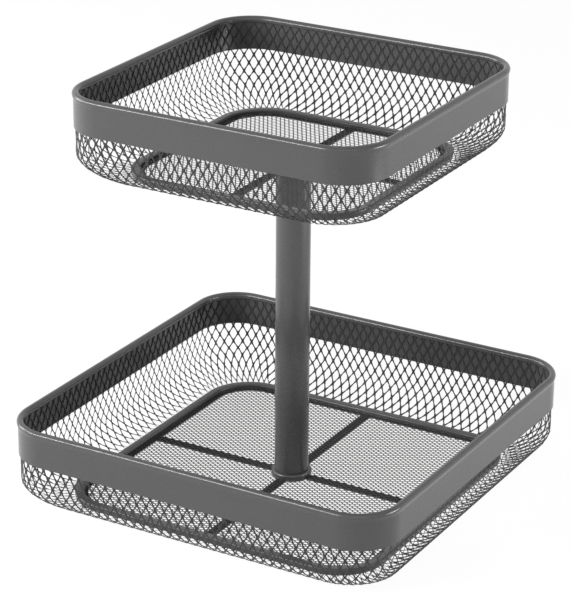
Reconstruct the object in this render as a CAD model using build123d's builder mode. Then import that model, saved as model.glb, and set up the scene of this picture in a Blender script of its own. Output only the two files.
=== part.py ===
from build123d import *
import os
from dataclasses import dataclass
from math import cos, pi, sin

# Two square trays of expanded steel mesh on one round post. The upper tray turns on the post.
# Lengths are in millimetres and angles in degrees. The lower tray stands on z = 0, the post
# is on the Z axis, and the trays' sides run along X and Y.

# Trays, measured over the outer faces of their bands
lower_side = 300.0
lower_corner = 33.0
lower_height = 65.0
upper_side = 237.0
upper_corner = 34.0
upper_height = 63.5
upper_rise = 239.0            # from the underside of the lower tray to that of the upper tray

# Rim band: an upright strip of sheet whose top edge is rolled over into a bead
band_height = 27.2
band_sheet = 1.0
bead_radius = 2.6
bead_facets = 8               # flats round the bead
bead_proud = 0.8              # how far the bead stands out from the band

# Side mesh: expanded sheet that lines the band and sweeps in under the tray
mesh_sheet = 0.8
bend_height = 18.5            # height of the sweep, on the outer face
bend_facets = 3               # flats down the sweep
corner_facets = 4             # flats round each corner
hem_width = 2.0               # flat hem between the sweep and the base ring
mesh_lift = 0.4               # height of the hem above the tray's underside
weld_film = 0.05              # paint film between the mesh and what it is welded to

# Openings of the side mesh: a coarse pattern for the real one's fine diamonds
side_cell_width = 44.0
side_cell_tall = 40.0
side_strand = 5.2             # metal left between two openings
side_margin = 1.0             # plain metal between the band and the first openings

# Base ring: a pressed frame with a raised rib outside and a flat flange inside
ring_inset = 27.0             # from the band's outer face in to the rib
ring_corner = 36.0
ring_sheet = 1.0
rib_width = 6.4
rib_height = 4.6
flange_width = 3.2
flange_lift = 0.6             # height of the flange's underside above the tray's underside

# Floor mesh: flat expanded sheet on the ring's flange and the cross bars, with a coarse
# pattern of openings of the real ones' proportions
floor_sheet = 0.8
floor_gap = 0.3               # to the rib and to the hub's cup
floor_cell_long = 48.0
floor_cell_short = 28.5
floor_strand = 3.2

# Cross bars: flat strips from the hub to the middle of each side of the ring
bar_width = 7.4
bar_gap = 0.1                 # at each welded end

# Hub: a pressed cup in the middle of each floor, welded to the cross bars
cup_radius = 14.7
cup_height = 5.6
cup_sheet = 1.2
cup_facets = 36               # flats round the cup's walls

# Post: a round tube with a turned plug pressed into each end
post_radius = 12.3
post_wall = 1.2
plug_length = 18.0
plug_fit = 0.02               # radial clearance of a pressed plug

# Turning seat of the upper tray, on a spigot of the upper plug
spigot_radius = 5.0
spigot_fit = 0.08             # radial running clearance
seat_gap = 0.3                # clearance above and below the sheet that turns

# Screws and washers
screw_radius = 3.0
screw_fit = 0.05
screw_length = 16.0           # under the head
head_radius = 5.6
head_height = 2.7
head_bevel = 1.2
socket_radius = 2.3           # six-sided socket, over its corners
socket_depth = 1.5
washer_radius = 8.5
washer_sheet = 0.8

overrun = 1.0                 # how far a cutting shape runs past the faces that it cuts


@dataclass
class Tray:
    """Sizes of one tray. Its base is the height of its underside.

    The heading is the way that the long diagonals of its floor mesh's openings lie.
    """

    name: str
    side: float
    corner: float
    height: float
    base: float
    heading: float

    @property
    def half(self):
        return self.side / 2

    @property
    def top(self):
        return self.base + self.height

    @property
    def ring_half(self):
        return self.half - ring_inset

    @property
    def flange_base(self):
        return self.base + flange_lift

    @property
    def floor_base(self):
        return self.flange_base + ring_sheet

    @property
    def cup_top(self):
        return self.base + cup_height


lower = Tray("lower", lower_side, lower_corner, lower_height, 0.0, 0.0)
upper = Tray("upper", upper_side, upper_corner, upper_height, upper_rise, 90.0)

# Heights along the post
post_foot = lower.cup_top
post_top = upper.cup_top - cup_sheet - seat_gap
spigot_top = upper.cup_top + seat_gap


def rounded_square(half, corner, mode=Mode.ADD):
    """Square with round corners, in the sketch being built."""
    return RectangleRounded(half + half, half + half, corner, mode=mode)


def square_path(half, corner, height):
    """Closed outline of a square with round corners, from the middle of its right side."""
    run = half - corner
    with BuildLine(Plane.XY.offset(height)) as path:
        Line((half, 0), (half, run))
        CenterArc((run, run), corner, 0, 90)
        Line((run, half), (0, half))
        mirror(about=Plane.YZ)
        mirror(about=Plane.XZ)
    return path.wire()


def faceted_outline(half, corner, height):
    """Points of a square whose round corners are made of flats."""
    points = []
    for heading in (0, 90, 180, 270):
        for facet in range(corner_facets + 1):
            swing = pi / 2 * facet / corner_facets
            out = half - corner + corner * cos(swing)
            along = half - corner + corner * sin(swing)
            points.append(Vector(out, along, height).rotate(Axis.Z, heading))
    return points


def opening_reach(cell_width, cell_tall, strand):
    """How far a diamond opening reaches from its middle, across and along its cell."""
    side = (cell_width**2 + cell_tall**2) ** 0.5
    share = 1 - strand * side / (cell_width * cell_tall)
    return cell_width / 2 * share, cell_tall / 2 * share


def diamond(across, along):
    """Corners of a diamond round the origin."""
    return [(across, 0), (0, along), (-across, 0), (0, -along)]


def make_rim_band(tray):
    """Strip of sheet round the tray, with its top edge rolled into a bead."""
    bead_place = (tray.half + bead_proud - bead_radius, tray.top - bead_radius)
    with BuildPart() as rim_band:
        with BuildSketch(Plane.XZ):
            with Locations((tray.half, tray.top - bead_radius)):
                Rectangle(band_sheet, band_height - bead_radius, align=(Align.MAX, Align.MAX))
            with Locations(bead_place):
                RegularPolygon(bead_radius, bead_facets)
        sweep(path=square_path(tray.half, tray.corner, tray.top))
    return rim_band.part


def side_outline(tray, turn, depth):
    """Half width, corner radius and height of the side mesh's outline at one point of its sweep.

    The turn goes from zero at the top of the sweep to a right angle at the hem, and the depth
    is how far the outline lies under the outer face.
    """
    hem_edge = weld_film + hem_width
    inset = band_sheet + weld_film + depth
    half = tray.ring_half + hem_edge
    corner = ring_corner + hem_edge
    return (half + (tray.half - inset - half) * cos(turn),
            corner + (tray.corner - inset - corner) * cos(turn),
            tray.base + mesh_lift + bend_height - (bend_height - depth) * sin(turn))


def quarter_length(half, corner):
    """Length of a quarter of a square with round corners."""
    return 2 * (half - corner) + pi / 2 * corner


def side_lengths(tray):
    """Lengths down the side mesh's outer face: its upright part below the band, and its bend."""
    half, corner, bend_top = side_outline(tray, 0, 0)
    bend_width = half - side_outline(tray, pi / 2, 0)[0]
    upright = tray.top - band_height - bend_top
    return upright, pi / 2 * ((bend_width**2 + bend_height**2) / 2) ** 0.5


def side_level(tray, down):
    """Outline of the side mesh's outer face, a length down it from the band's lower edge."""
    half, corner, bend_top = side_outline(tray, 0, 0)
    upright, bend_length = side_lengths(tray)
    if down < upright:
        return half, corner, bend_top + upright - down
    return side_outline(tray, pi / 2 * min((down - upright) / bend_length, 1), 0)


def side_point(tray, down, length):
    """Point of the side mesh's outer face, a length down it from the band's lower edge.

    It lies under the point of the mesh's top outline that is the other length along the
    quarter from the middle of the right side to the middle of the back side.
    """
    top_half, top_corner, bend_top = side_outline(tray, 0, 0)
    half, corner, height = side_level(tray, down)
    top_quarter = quarter_length(top_half, top_corner)
    quarter = quarter_length(half, corner)
    run = half - corner
    straight = min(top_half - top_corner, run)
    if length > top_quarter - straight:
        length += quarter - top_quarter
    elif length > straight:
        corner_share = (length - straight) / (top_quarter - 2 * straight)
        length = straight + corner_share * (quarter - 2 * straight)
    swing = min(max((length - run) / corner, 0), pi / 2)
    past_corner = max(length - run - pi / 2 * corner, 0)
    return Vector(run + corner * cos(swing) - past_corner,
                  min(length, run) + corner * sin(swing), height)


def side_openings(tray, down, stagger):
    """Planes and corners of one row of openings round the tray.

    The row's middle is a length down the side mesh from the band's lower edge. A staggered
    row has its openings between those of the row above.
    """
    top_half, top_corner, bend_top = side_outline(tray, 0, 0)
    quarter = quarter_length(top_half, top_corner)
    cells = round(quarter / side_cell_width)
    across, along = opening_reach(quarter / cells, side_cell_tall, side_strand)
    openings = []
    for cell in range(cells):
        length = quarter / cells * (cell if stagger else cell + 1 / 2)
        rise = side_point(tray, down - along, length) - side_point(tray, down + along, length)
        width = side_point(tray, down, length + across) - side_point(tray, down, length - across)
        middle = side_point(tray, down + along, length) + rise / 2
        for heading in (0, 90, 180, 270):
            plane = Plane(origin=middle.rotate(Axis.Z, heading),
                          x_dir=width.rotate(Axis.Z, heading),
                          z_dir=width.cross(rise).rotate(Axis.Z, heading))
            openings.append((plane, diamond(width.length / 2, rise.length / 2)))
    return openings


def make_side_mesh(tray):
    """Open bowl of thin mesh: upright inside the band, then swept in to the base ring."""
    top = tray.top - 2 * bead_radius - weld_film
    hem_half, hem_corner, hem_base = side_outline(tray, pi / 2, 0)
    lowest_row = sum(side_lengths(tray)) - side_strand
    rows = int((lowest_row - side_margin) / (side_cell_tall / 2)) + 1
    with BuildPart() as side_mesh:
        for depth, rise, mode in ((0, 0, Mode.ADD), (mesh_sheet, overrun, Mode.SUBTRACT)):
            half, corner, bend_top = side_outline(tray, 0, depth)
            points = faceted_outline(half, corner, top + rise)
            for facet in range(bend_facets + 1):
                outline = side_outline(tray, pi / 2 * facet / bend_facets, depth)
                points.extend(faceted_outline(*outline))
            ConvexPolyhedron(points, mode=mode)
        for row in range(rows):
            down = side_margin + row * side_cell_tall / 2
            for plane, corners in side_openings(tray, down, row % 2 == 0):
                with BuildSketch(plane):
                    Polygon(*corners)
        extrude(amount=bend_height / 2, both=True, mode=Mode.SUBTRACT)
        with BuildSketch(Plane.XY.offset(hem_base)):
            Polygon(*faceted_outline(hem_half, hem_corner, 0), align=None)
        extrude(amount=mesh_sheet)
        with BuildSketch(Plane.XY.offset(hem_base)):
            rounded_square(tray.ring_half + weld_film, ring_corner + weld_film)
        extrude(amount=mesh_sheet, mode=Mode.SUBTRACT)
    return side_mesh.part


def make_base_ring(tray):
    """Pressed frame under the tray: outer skirt, raised rib and inner flange."""
    half = tray.ring_half
    rib_inset = rib_width - ring_sheet
    ring_width = rib_width + flange_width
    with BuildPart() as base_ring:
        with BuildSketch(Plane.XY.offset(tray.base)):
            rounded_square(half, ring_corner)
            rounded_square(half - rib_width, ring_corner - rib_width, Mode.SUBTRACT)
        extrude(amount=rib_height)
        with BuildSketch(Plane.XY.offset(tray.base)):
            rounded_square(half - ring_sheet, ring_corner - ring_sheet)
            rounded_square(half - rib_inset, ring_corner - rib_inset, Mode.SUBTRACT)
        extrude(amount=rib_height - ring_sheet, mode=Mode.SUBTRACT)
        with BuildSketch(Plane.XY.offset(tray.base)):
            rounded_square(half - rib_inset, ring_corner - rib_inset)
        extrude(amount=flange_lift, mode=Mode.SUBTRACT)
        with BuildSketch(Plane.XY.offset(tray.flange_base)):
            rounded_square(half - rib_inset, ring_corner - rib_inset)
            rounded_square(half - ring_width, ring_corner - ring_width, Mode.SUBTRACT)
        extrude(amount=ring_sheet)
    return base_ring.part


def floor_openings(tray):
    """Places of the floor mesh's openings that lie whole on the floor, clear of the hub."""
    flat = tray.ring_half - rib_width - flange_width
    round_axis = flat - (ring_corner - rib_width - flange_width)
    round_radius = flat - round_axis
    long_reach, short_reach = opening_reach(floor_cell_long, floor_cell_short, floor_strand)
    columns = int(flat / floor_cell_long) + 1
    rows = int(flat / floor_cell_short) + 1
    places = []
    for column in range(-2 * columns, 2 * columns + 1):
        for row in range(-2 * rows, 2 * rows + 1):
            if (column + row) % 2 == 0:
                continue
            place = (column * floor_cell_long / 2, row * floor_cell_short / 2)
            corners = [(place[0] + x, place[1] + y) for x, y in diamond(long_reach, short_reach)]
            reach = max(max(abs(x), abs(y)) for x, y in corners)
            corner_reach = max(
                (max(abs(x) - round_axis, 0) ** 2 + max(abs(y) - round_axis, 0) ** 2) ** 0.5
                for x, y in corners)
            hub_clear = (max(abs(place[0]) - cup_radius, 0) / long_reach
                         + max(abs(place[1]) - cup_radius, 0) / short_reach)
            if reach < flat and corner_reach < round_radius and hub_clear > 1:
                places.append(place)
    return places


def make_floor_mesh(tray):
    """Flat mesh that fills the base ring, with a round hole for the hub's cup."""
    half = tray.ring_half - rib_width - floor_gap
    reach = opening_reach(floor_cell_long, floor_cell_short, floor_strand)
    with BuildPart() as floor_mesh:
        with BuildSketch(Plane.XY.offset(tray.floor_base).rotated((0, 0, tray.heading))):
            rounded_square(half, ring_corner - rib_width - floor_gap)
            Circle(cup_radius + floor_gap, mode=Mode.SUBTRACT)
            with Locations(*floor_openings(tray)):
                Polygon(*diamond(*reach), mode=Mode.SUBTRACT)
        extrude(amount=floor_sheet)
    return floor_mesh.part


def make_cross_bar(tray, heading):
    """Flat strip from the hub's cup to the ring's flange, towards a compass heading."""
    inner = cup_radius + bar_gap
    outer = tray.ring_half - rib_width - flange_width - bar_gap
    with BuildPart() as cross_bar:
        with BuildSketch(Plane.XY.offset(tray.flange_base).rotated((0, 0, heading))):
            with Locations((inner, 0)):
                Rectangle(outer - inner, bar_width, align=(Align.MIN, Align.CENTER))
        extrude(amount=ring_sheet)
    return cross_bar.part


def make_hub(tray, bore_radius):
    """Pressed cup, open below, with a bore through its top."""
    with BuildPart() as hub:
        with BuildSketch(Plane.XY.offset(tray.flange_base)):
            RegularPolygon(cup_radius, cup_facets)
        extrude(amount=cup_height - flange_lift)
        with BuildSketch(Plane.XY.offset(tray.flange_base)):
            RegularPolygon(cup_radius - cup_sheet, cup_facets)
        extrude(amount=cup_height - flange_lift - cup_sheet, mode=Mode.SUBTRACT)
        with BuildSketch(Plane.XY.offset(tray.flange_base)):
            Circle(bore_radius)
        extrude(amount=cup_height, mode=Mode.SUBTRACT)
    return hub.part


def make_post_tube():
    """Round tube from the lower hub's cup to just under the upper one's."""
    with BuildPart() as post_tube:
        with BuildSketch(Plane.XY.offset(post_foot)):
            Circle(post_radius)
            Circle(post_radius - post_wall, mode=Mode.SUBTRACT)
        extrude(amount=post_top - post_foot)
    return post_tube.part


def make_plug(start, way, spigot):
    """Turned plug in one end of the post, bored for a screw. It may carry a spigot outside."""
    with BuildPart() as plug:
        with BuildSketch(Plane.XY.offset(start)):
            Circle(post_radius - post_wall - plug_fit)
        extrude(amount=way * plug_length)
        if spigot > 0:
            with BuildSketch(Plane.XY.offset(start)):
                Circle(spigot_radius)
            extrude(amount=-way * spigot)
        with BuildSketch(Plane.XY.offset(start - way * spigot)):
            Circle(screw_radius + screw_fit)
        extrude(amount=way * (spigot + plug_length), mode=Mode.SUBTRACT)
    return plug.part


def make_washers(seats):
    """Flat washers, each on its seat and on the side that its way points to."""
    with BuildPart() as washers:
        for seat, way in seats:
            with BuildSketch(Plane.XY.offset(seat)):
                Circle(washer_radius)
                Circle(screw_radius + screw_fit, mode=Mode.SUBTRACT)
            extrude(amount=way * washer_sheet)
    return washers.part


def make_screws(seats):
    """Button-head screws with six-sided sockets, each through the washer on its seat."""
    with BuildPart() as screws:
        for seat, way in seats:
            head_base = seat + way * washer_sheet
            with BuildSketch(Plane.XY.offset(head_base)):
                Circle(head_radius)
            extrude(amount=way * head_height)
            chamfer(screws.edges().group_by(Axis.Z)[-1 if way > 0 else 0], head_bevel)
            with BuildSketch(Plane.XY.offset(head_base + way * head_height)):
                RegularPolygon(socket_radius, 6)
            extrude(amount=-way * socket_depth, mode=Mode.SUBTRACT)
            with BuildSketch(Plane.XY.offset(head_base)):
                Circle(screw_radius)
            extrude(amount=-way * screw_length)
    return screws.part


def keep(name, part):
    """Labels a finished piece and writes it under its own name."""
    part.label = name
    export_step(part, f"parts/{name}.step")


os.makedirs("parts", exist_ok=True)

bar_headings = {"right": 0, "back": 90, "left": 180, "front": 270}
hub_bores = {"lower": screw_radius + screw_fit, "upper": spigot_radius + spigot_fit}
for tray in (lower, upper):
    keep(f"{tray.name}_rim_band", make_rim_band(tray))
    keep(f"{tray.name}_side_mesh", make_side_mesh(tray))
    keep(f"{tray.name}_base_ring", make_base_ring(tray))
    keep(f"{tray.name}_floor_mesh", make_floor_mesh(tray))
    keep(f"{tray.name}_hub", make_hub(tray, hub_bores[tray.name]))
    for side, heading in bar_headings.items():
        keep(f"{tray.name}_cross_bar_{side}", make_cross_bar(tray, heading))

# A washer and a screw lie under the lower hub's cup, and the same on the upper plug's spigot
screw_seats = [(lower.cup_top - cup_sheet, -1), (spigot_top, 1)]
keep("post_tube", make_post_tube())
keep("post_lower_plug", make_plug(post_foot, 1, 0))
keep("post_upper_plug", make_plug(post_top, -1, spigot_top - post_top))
keep("tray_washers", make_washers(screw_seats))
keep("tray_screws", make_screws(screw_seats))
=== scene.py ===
import bpy
from math import acos, ceil, cos, hypot, pi, radians, sin
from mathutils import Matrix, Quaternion, Vector


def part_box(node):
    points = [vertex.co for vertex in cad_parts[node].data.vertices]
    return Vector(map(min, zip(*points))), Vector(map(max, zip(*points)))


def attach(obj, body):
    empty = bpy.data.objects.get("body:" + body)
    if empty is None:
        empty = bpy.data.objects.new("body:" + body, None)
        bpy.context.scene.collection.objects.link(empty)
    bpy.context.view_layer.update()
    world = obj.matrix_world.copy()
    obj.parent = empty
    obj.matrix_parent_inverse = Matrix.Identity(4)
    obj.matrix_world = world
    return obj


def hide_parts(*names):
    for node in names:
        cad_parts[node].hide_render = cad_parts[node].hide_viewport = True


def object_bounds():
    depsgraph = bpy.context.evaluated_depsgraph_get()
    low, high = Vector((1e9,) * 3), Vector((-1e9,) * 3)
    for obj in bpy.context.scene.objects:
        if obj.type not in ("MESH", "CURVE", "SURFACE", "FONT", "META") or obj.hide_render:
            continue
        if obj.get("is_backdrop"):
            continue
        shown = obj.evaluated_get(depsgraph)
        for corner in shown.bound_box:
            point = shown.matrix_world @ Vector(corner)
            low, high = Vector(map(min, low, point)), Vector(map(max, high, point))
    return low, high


# Looks of a tiered wire basket: two square trays of expanded steel mesh on a round post, all
# with a satin dark grey powder coat. Lengths are in metres.

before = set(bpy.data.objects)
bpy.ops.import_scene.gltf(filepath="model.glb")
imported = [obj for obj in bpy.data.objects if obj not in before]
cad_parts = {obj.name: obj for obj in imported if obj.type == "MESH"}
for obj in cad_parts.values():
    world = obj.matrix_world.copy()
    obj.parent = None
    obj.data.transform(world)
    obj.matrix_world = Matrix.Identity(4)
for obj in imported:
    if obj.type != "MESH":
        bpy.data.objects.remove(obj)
cad_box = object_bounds()

MM = 0.001
LOWER_BODY = "lower_tray_and_post"
UPPER_BODY = "upper_tray"

# Rim band of each tray
TRAY_CORNER = {"lower": 33 * MM, "upper": 34 * MM}
BAND_HEIGHT = {"lower": 26.8 * MM, "upper": 25.8 * MM}
BAND_SHEET = 1.0 * MM
BAND_EDGE = BAND_SHEET / 3    # chamfer of the band's lower edges
BEAD_RADIUS = 2.6 * MM
BEAD_PROUD = 0.8 * MM         # how far the bead stands out of the band
BEAD_BLEND = 3.4 * MM         # height over which the band turns out into the bead
BEAD_STEPS = 30
BLEND_STEPS = 6

# Expanded sheet of the sides
LINING = 0.8 * MM             # depth that the sheet takes up inside the band
WELD_FILM = 0.05 * MM         # between the sheet and what it is welded to
BEND_HEIGHT = 18.5 * MM
BEND_FLATNESS = 1.15          # 1 for an oval bend, and more for a flatter one
HEM_WIDTH = 2.0 * MM          # flat edge of the sheet beside the base ring
HEM_LIFT = 0.4 * MM           # underside of the hem above the base
SIDE_SHEET = 0.26 * MM
SIDE_CELL = {"lower": (7.37 * MM, 13.15 * MM), "upper": (7.25 * MM, 12.4 * MM)}
SIDE_STRAND = 0.7 * MM
SIDE_SLOPE = 0.4              # how steeply a strand leans out of the sheet

# Expanded sheet of the floors, whose strands lean the other way
FLOOR_SHEET = 0.26 * MM
FLOOR_CELL = (3.55 * MM, 6.1 * MM)
FLOOR_STRAND = {"lower": 0.7 * MM, "upper": 0.5 * MM}
FLOOR_SLOPE = -0.33
FLOOR_DEPTH = 0.8 * MM        # depth that the sheet takes up on the flange
FLOOR_GAP = 0.3 * MM          # to the rib outside and the cup inside

# Openings of both sheets: a cell is the short way of an opening, then its long way
TIP_SHARE = 0.88              # how far a rounded opening reaches into its corners
CELL_RIM = ((2, 0), (1, 1), (0, 2), (-1, 1), (-2, 0), (-1, -1), (0, -2), (1, -1))

# Base ring
RING_CORNER = 36 * MM
RING_SHEET = 1.0 * MM
RING_EDGE = RING_SHEET / 4    # radius of the cut edges
RIB_WIDTH = 6.4 * MM
RIB_HEIGHT = 4.6 * MM
RIB_RADIUS = 1.1 * MM         # outside radius of the rib's pressed edges
FLANGE_WIDTH = 3.2 * MM
FLANGE_LIFT = 0.6 * MM
FLANGE_RADIUS = RIB_RADIUS / 2

# Hub and post
CUP_RADIUS = 14.7 * MM
CUP_HEIGHT = 5.6 * MM
CUP_SHEET = 1.2 * MM
CUP_EDGE = CUP_SHEET / 4      # radius of the cut edges
CUP_BEND = 1.5 * MM           # outside radius of the pressed edge
BORE_RADIUS = {"lower": 3.05 * MM, "upper": 5.08 * MM}
POST_RADIUS = 12.3 * MM
POST_WALL = 1.2 * MM
POST_EDGE = 0.4 * MM

# Fineness of round shapes
TURN_STEPS = 96               # steps round a full turn of the hubs and the post
CORNER_STEPS = 20             # steps round a quarter turn of the rims and rings
EDGE_STEPS = 5                # steps round a rounded edge
SMOOTH_ANGLE = radians(38)    # edges sharper than this stay crisp

# Finishes
PATTERN_RANGE = (0.3, 0.7)    # where most of a cloud pattern's values lie
DRIFT_PATCHES = 25.0          # soft patches of colour to the metre
DRIFT_DETAIL = 3.0
DRIFT_SHARE = 0.6             # the colour's share from the patches, and the rest from the grain
GRAIN_DETAIL = 4.0

# Studio: a white floor and white surroundings, which light the object less than they show
STUDIO_REACH = 3.0
STUDIO_DROP = 0.2 * MM        # floor below the object's underside
STUDIO_PAINT = (0.8, 0.8, 0.8, 1)
STUDIO_GLOW = 1.15
GLOW_SHARE = 0.8
WORLD_LIGHT = 0.24
WHITE = (1, 1, 1, 1)

# Lamps: azimuth and elevation in degrees, distance, width and height, and watts
LAMPS = {
    "left_lamp": (-80, 10, 1.6, (0.5, 0.8), 8),
    "right_lamp": (108, -2, 1.3, (0.6, 0.3), 9),
    "front_strip": (-38, 20, 1.7, (1.8, 0.12), 28),
    "corner_strip": (38, 20, 1.7, (1.2, 0.06), 2),
}

# View of the photograph, whose frame is 571 by 600 pixels
FRAME_WIDTH = 571
FRAME_HEIGHT = 600
SENSOR = 36.0                 # millimetres along the frame's longer side, its height
FOCAL_PIXELS = 2625.2
CENTRE_PIXEL = (292.9, 286.6)
VIEW_AZIMUTH = radians(29.6526)
VIEW_ELEVATION = radians(21.9952)
VIEW_ROLL = radians(0.4808)
VIEW_DISTANCE = 1854.6 * MM
VIEW_AIM = 147.1 * MM         # height of the point looked at
CLIP_START = 0.05


class Tray:
    """Sizes and places of one tray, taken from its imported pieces."""

    def __init__(self, name, body, floor_turned):
        self.name = name
        self.body = body
        self.floor_turned = floor_turned
        self.corner = TRAY_CORNER[name]
        band_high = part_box(f"{name}_rim_band")[1]
        self.half = band_high.x - BEAD_PROUD
        self.top = band_high.z
        self.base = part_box(f"{name}_base_ring")[0].z
        self.ring_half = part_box(f"{name}_base_ring")[1].x


def new_piece(name, points, faces, material, body, replaced):
    """A mesh piece that stands for CAD nodes and rides on a body."""
    mesh = bpy.data.meshes.new(name)
    mesh.from_pydata(points, [], faces)
    mesh.update()
    mesh.materials.append(material)
    piece = bpy.data.objects.new(name, mesh)
    bpy.context.scene.collection.objects.link(piece)
    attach(piece, body)
    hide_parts(*replaced)
    return piece


def smooth_shade(piece):
    """Shades a piece smooth, with its sharp edges left crisp."""
    piece.data.shade_smooth()
    piece.data.set_sharp_from_angle(angle=SMOOTH_ANGLE)


def thicken(piece, thickness):
    """Gives a sheet its thickness, half to each side."""
    solid = piece.modifiers.new("thickness", "SOLIDIFY")
    solid.thickness = thickness
    solid.offset = 0


def turned_about_z(out, along, heading):
    """The two level coordinates of a point, turned about the Z axis."""
    return (out * cos(heading) - along * sin(heading),
            out * sin(heading) + along * cos(heading))


def rounded_profile(corners, radii):
    """Closed profile with each corner rounded to its own radius."""
    points = []
    for place, radius in enumerate(radii):
        corner = Vector(corners[place])
        before = Vector(corners[place - 1]) - corner
        after = Vector(corners[(place + 1) % len(corners)]) - corner
        opening = before.angle(after)
        setback = radius / (sin(opening / 2) / cos(opening / 2))
        start = corner + before.normalized() * setback
        end = corner + after.normalized() * setback
        centre = corner + (before.normalized() + after.normalized()).normalized() * (
            radius / sin(opening / 2))
        for step in range(EDGE_STEPS + 1):
            spoke = (start - centre).lerp(end - centre, step / EDGE_STEPS)
            points.append(tuple(centre + spoke.normalized() * radius))
    return points


def loop_faces(count, rings):
    """Faces between rings of points that close on themselves both ways."""
    faces = []
    for ring in range(rings):
        for place in range(count):
            here = ring * count + place
            beside = ring * count + (place + 1) % count
            ahead = (ring + 1) % rings * count
            faces.append((here, beside, ahead + (place + 1) % count, ahead + place))
    return faces


def swept_ring(profile, half, corner):
    """Points and faces of a profile swept round a square with round corners.

    A profile point is its distance in from the outline and its height.
    """
    points = []
    reach = half - corner
    for side in range(4):
        heading = side * pi / 2
        for step in range(CORNER_STEPS + 1):
            swing = pi / 2 * step / CORNER_STEPS
            for inset, height in profile:
                out = reach + (corner - inset) * cos(swing)
                along = reach + (corner - inset) * sin(swing)
                points.append((*turned_about_z(out, along, heading), height))
    return points, loop_faces(len(profile), 4 * (CORNER_STEPS + 1))


def turned_shape(profile):
    """Points and faces of a closed profile of radius and height, turned about the Z axis."""
    points = []
    for step in range(TURN_STEPS):
        swing = 2 * pi * step / TURN_STEPS
        points += [(radius * cos(swing), radius * sin(swing), height)
                   for radius, height in profile]
    return points, loop_faces(len(profile), TURN_STEPS)


def make_rim_band(tray, material):
    """Strip of sheet with its top edge rolled into a round bead."""
    bead_inset = BEAD_RADIUS - BEAD_PROUD
    bead_height = tray.top - BEAD_RADIUS
    bottom = tray.top - BAND_HEIGHT[tray.name]
    profile = [(BAND_SHEET, bottom + BAND_EDGE), (BAND_SHEET - BAND_EDGE, bottom),
               (BAND_EDGE, bottom), (0, bottom + BAND_EDGE)]
    for step in range(BLEND_STEPS):
        share = step / BLEND_STEPS
        eased = share * share * (3 - 2 * share)
        profile.append((-BEAD_PROUD * eased, bead_height - BEAD_BLEND * (1 - share)))
    wrap = 2 * pi - acos((bead_inset - BAND_SHEET) / BEAD_RADIUS)
    for step in range(BEAD_STEPS + 1):
        swing = wrap * step / BEAD_STEPS
        profile.append((bead_inset - BEAD_RADIUS * cos(swing),
                        bead_height + BEAD_RADIUS * sin(swing)))
    points, faces = swept_ring(profile, tray.half, tray.corner)
    piece = new_piece(f"{tray.name}_rim", points, faces, material,
                      tray.body, [f"{tray.name}_rim_band"])
    smooth_shade(piece)


def make_base_ring(tray, material):
    """Pressed frame: outer skirt, raised rib with rounded edges and inner flange."""
    rib_under = RIB_HEIGHT - RING_SHEET
    rib_inside = RIB_WIDTH - RING_SHEET
    flange_top = FLANGE_LIFT + RING_SHEET
    flange_end = RIB_WIDTH + FLANGE_WIDTH
    inner_radius = RIB_RADIUS - RING_SHEET
    corners = [(0, 0), (0, RIB_HEIGHT), (RIB_WIDTH, RIB_HEIGHT), (RIB_WIDTH, flange_top),
               (flange_end, flange_top), (flange_end, FLANGE_LIFT), (rib_inside, FLANGE_LIFT),
               (rib_inside, rib_under), (RING_SHEET, rib_under), (RING_SHEET, 0)]
    radii = [RING_EDGE, RIB_RADIUS, RIB_RADIUS, FLANGE_RADIUS, RING_EDGE, RING_EDGE,
             FLANGE_RADIUS, inner_radius, inner_radius, RING_EDGE]
    profile = [(inset, tray.base + rise) for inset, rise in rounded_profile(corners, radii)]
    points, faces = swept_ring(profile, tray.ring_half, RING_CORNER)
    piece = new_piece(f"{tray.name}_ring", points, faces, material,
                      tray.body, [f"{tray.name}_base_ring"])
    smooth_shade(piece)


def bend_outline(tray, turn):
    """Half width, corner radius and height of the side sheet's middle surface in its bend.

    The turn is nought where the bend starts below the band, and a quarter turn at the hem.
    """
    inset = BAND_SHEET + WELD_FILM + LINING / 2
    hem_edge = WELD_FILM + HEM_WIDTH
    half = tray.ring_half + hem_edge
    corner = RING_CORNER + hem_edge
    fall = (BEND_HEIGHT - LINING / 2) * sin(turn) ** BEND_FLATNESS
    out = max(cos(turn), 0) ** BEND_FLATNESS
    return (half + (tray.half - inset - half) * out,
            corner + (tray.corner - inset - corner) * out,
            tray.base + HEM_LIFT + BEND_HEIGHT - fall)


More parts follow.
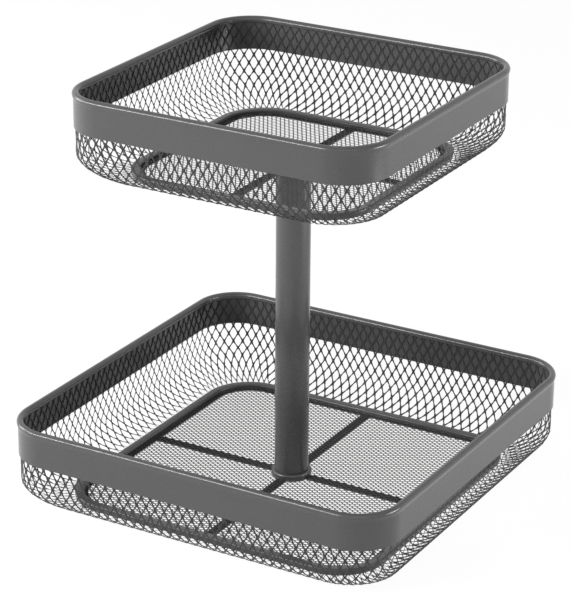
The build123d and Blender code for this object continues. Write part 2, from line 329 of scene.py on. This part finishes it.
class SideSheet:
    """Middle surface of a tray's side sheet, by the length down it and the length round it."""

    def __init__(self, tray):
        self.tray = tray
        self.top = tray.top - 2 * BEAD_RADIUS
        self.half, self.corner, bend_top = bend_outline(tray, 0)
        low_half, _, low_height = bend_outline(tray, pi / 2)
        self.upright = self.top - bend_top
        self.bend = pi / 2 * hypot(self.half - low_half, bend_top - low_height) / 2**0.5
        self.down = self.upright + self.bend + HEM_WIDTH
        self.quarter = 2 * (self.half - self.corner) + pi / 2 * self.corner

    def level(self, down):
        """Half width, corner radius, height and turn of the outline at a length down."""
        if down < self.upright:
            return self.half, self.corner, self.top - down, 0
        turn = pi / 2 * min((down - self.upright) / self.bend, 1)
        half, corner, height = bend_outline(self.tray, turn)
        hem = max(down - self.upright - self.bend, 0)
        return half - hem, corner - hem, height, turn

    def point(self, length, down, lift):
        """Point at a length round the top outline and a length down, lifted out of the sheet."""
        half, corner, height, turn = self.level(down)
        side, length = divmod(length, self.quarter)
        run = half - corner
        quarter = 2 * run + pi / 2 * corner
        straight = min(self.half - self.corner, run)
        if length > self.quarter - straight:
            length += quarter - self.quarter
        elif length > straight:
            share = (length - straight) / (self.quarter - 2 * straight)
            length = straight + share * (quarter - 2 * straight)
        swing = min(max((length - run) / corner, 0), pi / 2)
        past = max(length - run - pi / 2 * corner, 0)
        reach = corner + lift * cos(turn)
        out = run + reach * cos(swing) - past
        along = min(length, run) + reach * sin(swing)
        return (*turned_about_z(out, along, side * pi / 2), height - lift * sin(turn))


def lattice(cells, cell, strand, slope, place, around=0):
    """Points and faces of expanded sheet, with one diamond opening in each cell.

    A cell is its column and row in half cells, with the columns along the short way. Place
    gives the point at a length along and across the lattice with a lift out of it, and around
    is the number of half cells after which the columns close, or 0 for an open lattice. The
    rim of a cell goes round its corners and the middles of its edges, in quarter cells.
    """
    share = 1 - strand * hypot(*cell) / (cell[0] * cell[1])
    tilt = slope * strand
    points = []
    faces = []
    index = {}

    def point(column, row, lift):
        """Adds the point at a place in quarter cells, and gives its number."""
        points.append(place(column * cell[0] / 4, row * cell[1] / 4, lift))
        return len(points) - 1

    for column, row in cells:
        outer = []
        inner = []
        for across, along in CELL_RIM:
            key = (2 * column + across, 2 * row + along)
            if around:
                key = (key[0] % (2 * around), key[1])
            if key not in index:
                index[key] = point(*key, 0)
            outer.append(index[key])
            reach = share * (TIP_SHARE if 0 in (across, along) else 1)
            inner.append(point(2 * column + reach * across, 2 * row + reach * along,
                               tilt * across / 2))
        for step in range(len(CELL_RIM)):
            ahead = (step + 1) % len(CELL_RIM)
            faces.append((outer[step], outer[ahead], inner[ahead], inner[step]))
    return points, faces


def make_side_mesh(tray, material):
    """Expanded sheet that lines the band and sweeps in to the base ring."""
    sheet = SideSheet(tray)
    width, tall = SIDE_CELL[tray.name]
    columns = round(4 * sheet.quarter / width)
    cell = (4 * sheet.quarter / columns, tall)
    rows = ceil(2 * sheet.down / tall)
    start = sheet.down - rows * tall / 2

    def place(length, down, lift):
        """Point of the sheet, whose last row ends at the hem and first starts in the bead."""
        return sheet.point(length, start + down, lift)

    cells = [(column, row) for column in range(2 * columns) for row in range(1, rows)
             if (column + row) % 2]
    points, faces = lattice(cells, cell, SIDE_STRAND, SIDE_SLOPE, place, 2 * columns)
    piece = new_piece(f"{tray.name}_side_lattice", points, faces, material,
                      tray.body, [f"{tray.name}_side_mesh"])
    thicken(piece, SIDE_SHEET)


def make_floor_mesh(tray, material):
    """Flat expanded sheet, cut to the rib outside and to the hub's cup inside."""
    half = tray.ring_half - RIB_WIDTH - FLOOR_GAP
    corner = RING_CORNER - RIB_WIDTH - FLOOR_GAP
    run = half - corner
    hole = CUP_RADIUS + FLOOR_GAP
    height = tray.base + FLANGE_LIFT + RING_SHEET + FLOOR_DEPTH / 2

    def place(along, across, lift):
        """Point of the sheet, drawn in to its outline and out of its hole."""
        over = (max(abs(along) - run, 0), max(abs(across) - run, 0))
        beyond = hypot(*over)
        if beyond:
            pull = min(corner / beyond, 1)
            along = (min(abs(along), run) + over[0] * pull) * (1 if along > 0 else -1)
            across = (min(abs(across), run) + over[1] * pull) * (1 if across > 0 else -1)
        push = max(hole / max(hypot(along, across), MM), 1)
        point = (along * push, across * push, height + lift)
        return point if tray.floor_turned else (point[1], -point[0], point[2])

    columns, rows = (int(half / way) + 1 for way in FLOOR_CELL)
    cells = []
    for column in range(-2 * columns, 2 * columns + 1):
        for row in range(-2 * rows, 2 * rows + 1):
            middle = (column * FLOOR_CELL[0] / 2, row * FLOOR_CELL[1] / 2)
            over = hypot(*(max(abs(length) - half + corner, 0) for length in middle))
            if (column + row) % 2 and over < corner and hypot(*middle) > hole:
                cells.append((column, row))
    points, faces = lattice(cells, FLOOR_CELL, FLOOR_STRAND[tray.name], FLOOR_SLOPE, place)
    piece = new_piece(f"{tray.name}_floor_lattice", points, faces, material,
                      tray.body, [f"{tray.name}_floor_mesh"])
    thicken(piece, FLOOR_SHEET)


def make_hub(tray, material):
    """Pressed cup with a rounded edge, open below and bored through its top."""
    base = tray.base + FLANGE_LIFT
    top = tray.base + CUP_HEIGHT
    under = top - CUP_SHEET
    bore = BORE_RADIUS[tray.name]
    inner = CUP_RADIUS - CUP_SHEET
    corners = [(bore, top), (CUP_RADIUS, top), (CUP_RADIUS, base), (inner, base),
               (inner, under), (bore, under)]
    radii = [CUP_EDGE, CUP_BEND, CUP_EDGE, CUP_EDGE, CUP_BEND - CUP_SHEET / 2, CUP_EDGE]
    points, faces = turned_shape(rounded_profile(corners, radii))
    piece = new_piece(f"{tray.name}_hub_cup", points, faces, material,
                      tray.body, [f"{tray.name}_hub"])
    smooth_shade(piece)


def make_post(body, material):
    """Round tube with softened ends."""
    low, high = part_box("post_tube")
    inner = POST_RADIUS - POST_WALL
    corners = [(POST_RADIUS, low.z), (POST_RADIUS, high.z), (inner, high.z), (inner, low.z)]
    points, faces = turned_shape(rounded_profile(corners, [POST_EDGE] * len(corners)))
    piece = new_piece("post", points, faces, material, body, ["post_tube"])
    smooth_shade(piece)


def noise(nodes, links, vector, scale, detail):
    """Cloud pattern with a number of patches to the metre."""
    cloud = nodes.new("ShaderNodeTexNoise")
    cloud.inputs["Scale"].default_value = scale
    cloud.inputs["Detail"].default_value = detail
    links.new(vector, cloud.inputs["Vector"])
    return cloud.outputs["Fac"]


def spread(nodes, links, value, low, high):
    """A cloud pattern's usual values, spread from a low to a high value."""
    reach = nodes.new("ShaderNodeMapRange")
    reach.inputs["From Min"].default_value = PATTERN_RANGE[0]
    reach.inputs["From Max"].default_value = PATTERN_RANGE[1]
    reach.inputs["To Min"].default_value = low
    reach.inputs["To Max"].default_value = high
    links.new(value, reach.inputs["Value"])
    return reach.outputs["Result"]


def new_material(name, colour, drift, roughness, grain, grain_height, metallic=0.0,
                 specular=0.5):
    """Finish whose colour drifts softly, with a fine grain in its gloss and its surface.

    The grain is the size of its grains, and the grain height how far they stand up.
    """
    material = bpy.data.materials.new(name)
    material.use_nodes = True
    nodes = material.node_tree.nodes
    links = material.node_tree.links
    shader = nodes["Principled BSDF"]
    shader.inputs["Metallic"].default_value = metallic
    shader.inputs["Specular IOR Level"].default_value = specular
    place = nodes.new("ShaderNodeTexCoord").outputs["Object"]

    slow = noise(nodes, links, place, DRIFT_PATCHES, DRIFT_DETAIL)
    fine = noise(nodes, links, place, 1 / grain, GRAIN_DETAIL)
    tone = nodes.new("ShaderNodeMix")
    tone.data_type = "RGBA"
    tone.inputs["A"].default_value = [level * (1 - drift) for level in colour] + [1.0]
    tone.inputs["B"].default_value = [level * (1 + drift) for level in colour] + [1.0]
    both = nodes.new("ShaderNodeMath")
    both.operation = "ADD"
    links.new(spread(nodes, links, slow, 0.0, DRIFT_SHARE), both.inputs[0])
    links.new(spread(nodes, links, fine, 0.0, 1 - DRIFT_SHARE), both.inputs[1])
    links.new(both.outputs["Value"], tone.inputs["Factor"])
    links.new(tone.outputs["Result"], shader.inputs["Base Color"])
    links.new(spread(nodes, links, fine, *roughness), shader.inputs["Roughness"])

    bump = nodes.new("ShaderNodeBump")
    bump.inputs["Distance"].default_value = grain_height
    links.new(fine, bump.inputs["Height"])
    links.new(bump.outputs["Normal"], shader.inputs["Normal"])
    return material


def seen_directly(nodes, links):
    """One for camera, glossy and transmission rays, and nought for the rest."""
    path = nodes.new("ShaderNodeLightPath")
    total = path.outputs["Is Camera Ray"]
    for ray in ("Is Glossy Ray", "Is Transmission Ray"):
        most = nodes.new("ShaderNodeMath")
        most.operation = "MAXIMUM"
        links.new(total, most.inputs[0])
        links.new(path.outputs[ray], most.inputs[1])
        total = most.outputs["Value"]
    return total


def make_studio_floor():
    """Plain white floor that keeps the object's soft shadow."""
    mesh = bpy.data.meshes.new("floor")
    corners = [(-STUDIO_REACH, -STUDIO_REACH, 0), (STUDIO_REACH, -STUDIO_REACH, 0),
               (STUDIO_REACH, STUDIO_REACH, 0), (-STUDIO_REACH, STUDIO_REACH, 0)]
    mesh.from_pydata(corners, [], [(0, 1, 2, 3)])
    floor = bpy.data.objects.new("floor", mesh)
    floor.location.z = -STUDIO_DROP
    bpy.context.scene.collection.objects.link(floor)
    material = bpy.data.materials.new("floor_white")
    material.use_nodes = True
    nodes = material.node_tree.nodes
    links = material.node_tree.links
    nodes.clear()
    paint = nodes.new("ShaderNodeBsdfDiffuse")
    paint.inputs["Color"].default_value = STUDIO_PAINT
    glow = nodes.new("ShaderNodeEmission")
    glow.inputs["Strength"].default_value = STUDIO_GLOW
    mix = nodes.new("ShaderNodeMixShader")
    share = nodes.new("ShaderNodeMath")
    share.operation = "MULTIPLY"
    share.inputs[1].default_value = GLOW_SHARE
    links.new(seen_directly(nodes, links), share.inputs[0])
    links.new(share.outputs["Value"], mix.inputs["Fac"])
    links.new(paint.outputs["BSDF"], mix.inputs[1])
    links.new(glow.outputs["Emission"], mix.inputs[2])
    output = nodes.new("ShaderNodeOutputMaterial")
    links.new(mix.outputs["Shader"], output.inputs["Surface"])
    mesh.materials.append(material)
    floor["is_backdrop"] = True


def make_world():
    """White surroundings to look at, and a softer grey light from all round."""
    world = bpy.data.worlds.new("studio")
    bpy.context.scene.world = world
    world.use_nodes = True
    nodes = world.node_tree.nodes
    links = world.node_tree.links
    light = nodes["Background"]
    strength = nodes.new("ShaderNodeMapRange")
    strength.inputs["To Min"].default_value = WORLD_LIGHT
    strength.inputs["To Max"].default_value = 1.0
    links.new(seen_directly(nodes, links), strength.inputs["Value"])
    light.inputs["Color"].default_value = WHITE
    links.new(strength.outputs["Result"], light.inputs["Strength"])


def away_from_aim(azimuth, elevation):
    """Direction from the point looked at, by an azimuth from the front and an elevation."""
    return Vector((sin(azimuth) * cos(elevation), -cos(azimuth) * cos(elevation), sin(elevation)))


def make_lamp(name, azimuth, elevation, distance, size, power):
    """Soft lamp of a width and a height, facing the object from an azimuth and an elevation."""
    lamp = bpy.data.lights.new(name, "AREA")
    lamp.shape = "RECTANGLE"
    lamp.size, lamp.size_y = size
    lamp.energy = power
    item = bpy.data.objects.new(name, lamp)
    away = away_from_aim(azimuth, elevation)
    item.location = away * distance + Vector((0, 0, VIEW_AIM))
    item.rotation_euler = away.to_track_quat("Z", "Y").to_euler()
    bpy.context.scene.collection.objects.link(item)


def make_camera():
    """Camera with the photograph's place, turn and framing."""
    data = bpy.data.cameras.new("camera")
    data.sensor_width = SENSOR
    data.lens = FOCAL_PIXELS / FRAME_HEIGHT * SENSOR
    data.shift_x = (FRAME_WIDTH / 2 - CENTRE_PIXEL[0]) / FRAME_HEIGHT
    data.shift_y = (CENTRE_PIXEL[1] - FRAME_HEIGHT / 2) / FRAME_HEIGHT
    data.clip_start = CLIP_START
    camera = bpy.data.objects.new("camera", data)
    away = away_from_aim(VIEW_AZIMUTH, VIEW_ELEVATION)
    camera.location = away * VIEW_DISTANCE + Vector((0, 0, VIEW_AIM))
    camera.rotation_mode = "QUATERNION"
    camera.rotation_quaternion = Quaternion(away, VIEW_ROLL) @ away.to_track_quat("Z", "Y")
    bpy.context.scene.collection.objects.link(camera)
    bpy.context.scene.camera = camera


coated = new_material("powder_coat", colour=(0.068, 0.068, 0.070), drift=0.06,
                      roughness=(0.20, 0.30), grain=0.5 * MM, grain_height=0.02 * MM,
                      specular=0.65)
# The strands carry the bands' powder coat in a darker colour. The extra darkness is painted shade
# for the shadow that falls among and under the strands.
strand_coat_painted_shade = new_material("powder_coat_mesh_painted_shade", colour=(0.05, 0.05, 0.051), drift=0.10,
                             roughness=(0.35, 0.50), grain=0.5 * MM, grain_height=0.02 * MM,
                             specular=0.25)
turned_steel = new_material("turned_steel", colour=(0.42, 0.42, 0.41), drift=0.12,
                            roughness=(0.25, 0.42), grain=0.2 * MM, grain_height=0.01 * MM,
                            metallic=1.0)
zinc = new_material("zinc_plate", colour=(0.50, 0.50, 0.49), drift=0.10,
                    roughness=(0.28, 0.45), grain=0.4 * MM, grain_height=0.01 * MM,
                    metallic=1.0)

for tray in (Tray("lower", LOWER_BODY, False), Tray("upper", UPPER_BODY, True)):
    make_rim_band(tray, coated)
    make_base_ring(tray, coated)
    make_side_mesh(tray, strand_coat_painted_shade)
    make_floor_mesh(tray, strand_coat_painted_shade)
    make_hub(tray, coated)
make_post(LOWER_BODY, coated)

bare_nodes = {"post_lower_plug": turned_steel, "post_upper_plug": turned_steel,
              "tray_washers": zinc, "tray_screws": zinc}
for name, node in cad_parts.items():
    for material_slot in node.material_slots:
        material_slot.material = bare_nodes.get(name, coated)

make_studio_floor()
make_world()
for name, (azimuth, elevation, distance, size, power) in LAMPS.items():
    make_lamp(name, radians(azimuth), radians(elevation), distance, size, power)
make_camera()
bpy.context.scene.view_settings.view_transform = "Standard"

sizes = {"cad": cad_box, "visual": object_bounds()}
{name: [list(corner) for corner in box] for name, box in sizes.items()}
